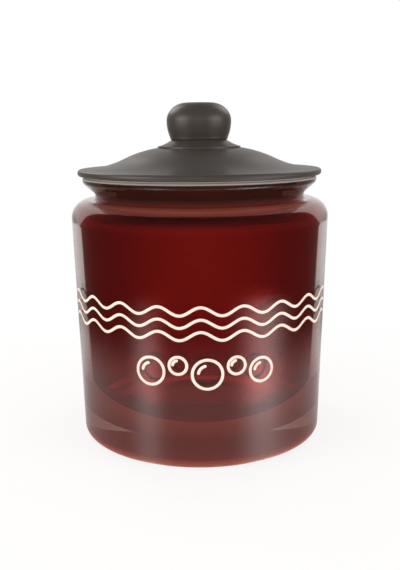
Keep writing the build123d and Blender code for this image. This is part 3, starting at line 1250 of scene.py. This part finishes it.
    def pool(self, tree: bpy.types.NodeTree, turn: bpy.types.NodeSocket, far: bpy.types.NodeSocket,
             pool: LightPool) -> bpy.types.NodeSocket:
        """Give how bright one pool of light is.

        Args:
            tree: The tree that takes the nodes.
            turn: How far a place on the table is turned from the front, in radians.
            far: Its distance from the jar's axis.
            pool: The pool.

        Returns:
            The brightness.
        """
        off = add_node(tree, "ShaderNodeMath", {"operation": "SUBTRACT"}, {
            0: turn, 1: math.radians(pool.turn)})
        scaled = add_node(tree, "ShaderNodeMath", {"operation": "DIVIDE"}, {
            0: off.outputs[0], 1: math.radians(pool.width)})
        squared = add_node(tree, "ShaderNodeMath", {"operation": "MULTIPLY"}, {
            0: scaled.outputs[0], 1: scaled.outputs[0]})
        bell = add_node(tree, "ShaderNodeMath", {"operation": "POWER"}, {
            0: math.exp(-1), 1: squared.outputs[0]})
        reach = add_node(tree, "ShaderNodeMapRange", {"interpolation_type": "SMOOTHSTEP"}, {
            "Value": far, "From Min": pool.fade_start, "From Max": self.pool_end,
            "To Min": pool.strength, "To Max": 0.0})
        return add_node(tree, "ShaderNodeMath", {"operation": "MULTIPLY"}, {
            0: bell.outputs[0], 1: reach.outputs["Result"]}).outputs[0]

    def table(self) -> None:
        """Make the table top: white where it is seen, with the jar's shadow, and dim where mirrored."""
        bpy.ops.mesh.primitive_circle_add(
            vertices=self.table_sides, radius=self.table_radius, fill_type="NGON")
        top = bpy.context.object
        top.name = "table_top"
        material, tree = new_material("pale_table")
        place = add_node(tree, "ShaderNodeTexCoord").outputs["Object"]
        spot = add_node(tree, "ShaderNodeSeparateXYZ", {}, {0: place})
        far = add_node(tree, "ShaderNodeVectorMath", {"operation": "LENGTH"}, {0: place}).outputs["Value"]
        out = add_node(tree, "ShaderNodeVectorMath", {"operation": "NORMALIZE"}, {0: place})
        way = add_node(tree, "ShaderNodeSeparateXYZ", {}, {0: out.outputs[0]})
        ahead = add_node(tree, "ShaderNodeMath", {"operation": "SUBTRACT"}, {
            0: self.pool_root, 1: spot.outputs["Y"]})
        turn = add_node(tree, "ShaderNodeMath", {"operation": "ARCTAN2"}, {
            0: spot.outputs["X"], 1: ahead.outputs[0]}).outputs[0]
        near = add_node(tree, "ShaderNodeMapRange", {"interpolation_type": "SMOOTHSTEP"}, {
            "Value": far, "From Min": self.near_start, "From Max": self.near_end,
            "To Min": self.near_mirror, "To Max": 0.0}).outputs["Result"]
        mirrored = self.backwards(tree, way.outputs["Y"])
        for light in (near, *(self.pool(tree, turn, far, pool) for pool in self.pools)):
            mirrored = add_node(tree, "ShaderNodeMath", {}, {0: mirrored, 1: light}).outputs[0]
        share = add_node(tree, "ShaderNodeMapRange", {}, {
            "Value": far, "From Min": self.fade_start, "From Max": self.table_radius,
            "To Min": self.table_glow, "To Max": 1.0}).outputs["Result"]
        strengths = self.sideways(tree, way.outputs["X"]), mirrored, 1.0
        surface = add_node(tree, "ShaderNodeBsdfDiffuse", {}, {"Color": hex_colour(self.table_colour)})
        for kind, strength in zip(self.rays(tree), strengths):
            shown = add_node(tree, "ShaderNodeEmission", {}, {"Color": WHITE, "Strength": strength})
            weight = add_node(tree, "ShaderNodeMath", {"operation": "MULTIPLY"}, {
                0: kind, 1: 1.0 if strength is mirrored else share})
            surface = add_node(tree, "ShaderNodeMixShader", {}, {
                "Fac": weight.outputs[0], 1: surface.outputs[0], 2: shown.outputs[0]})
        add_node(tree, "ShaderNodeOutputMaterial", {}, {"Surface": surface.outputs[0]})
        top.data.materials.append(material)

    def build(self, glass: bpy.types.Object) -> None:
        """Set up the surround, the table and the lamps.

        Args:
            glass: The jar's glass, which the lamps are flagged off. It shows the surround instead.
        """
        self.world()
        self.table()
        kept_off = bpy.data.collections.new("flagged_off")
        kept_off.objects.link(glass)
        kept_off.collection_objects[0].light_linking.link_state = "EXCLUDE"
        for lamp in self.lamps:
            lamp.build(Vector((0.0, 0.0, self.aim_height)), kept_off)


@dataclass(frozen=True)
class PhotoCamera:
    """The photograph's viewpoint, found from the ellipses that the jar's circles make in it."""

    place: tuple[float, float, float] = (-0.00025, -0.47843, 0.19132)
    focal_pixels: float = 757.09
    pitch: float = 0.2043
    roll: float = 0.0094

    def build(self) -> None:
        """Stand the camera in the scene."""
        lens = bpy.data.cameras.new("photo_camera")
        # The sensor's width lies along the picture's longer side, its height
        lens.sensor_width = SENSOR_MM
        lens.lens = self.focal_pixels / PICTURE_HEIGHT * SENSOR_MM
        camera = bpy.data.objects.new("photo_camera", lens)
        camera.location = self.place
        level = Euler((math.pi / 2 - self.pitch, 0.0, 0.0)).to_matrix()
        camera.rotation_euler = (level @ Euler((0.0, 0.0, -self.roll)).to_matrix()).to_euler()
        bpy.context.scene.collection.objects.link(camera)
        bpy.context.scene.camera = camera


def main() -> None:
    """Build the jar and its lid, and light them."""
    logging.basicConfig(level=logging.INFO)
    bpy.context.scene.view_settings.view_transform = "Standard"
    PhotoCamera().build()
    coat = PowderCoat().material()
    steel = ZincSteel().material()
    glass = JarGlass()
    Studio().build(glass.build(PressedGlass().material(), RedLustre().material()))
    PrintedMotif(glass).build(CreamEnamel().material())
    Lid({
        "lid_shell": coat,
        "lid_knob": coat,
        "seal_carrier": MouldedPlastic().material(),
        "seal_ring": SmokedSilicone().material(),
        "knob_screw": steel,
        "screw_washer": steel,
    }).dress()


if __name__ == "__main__":
    main()
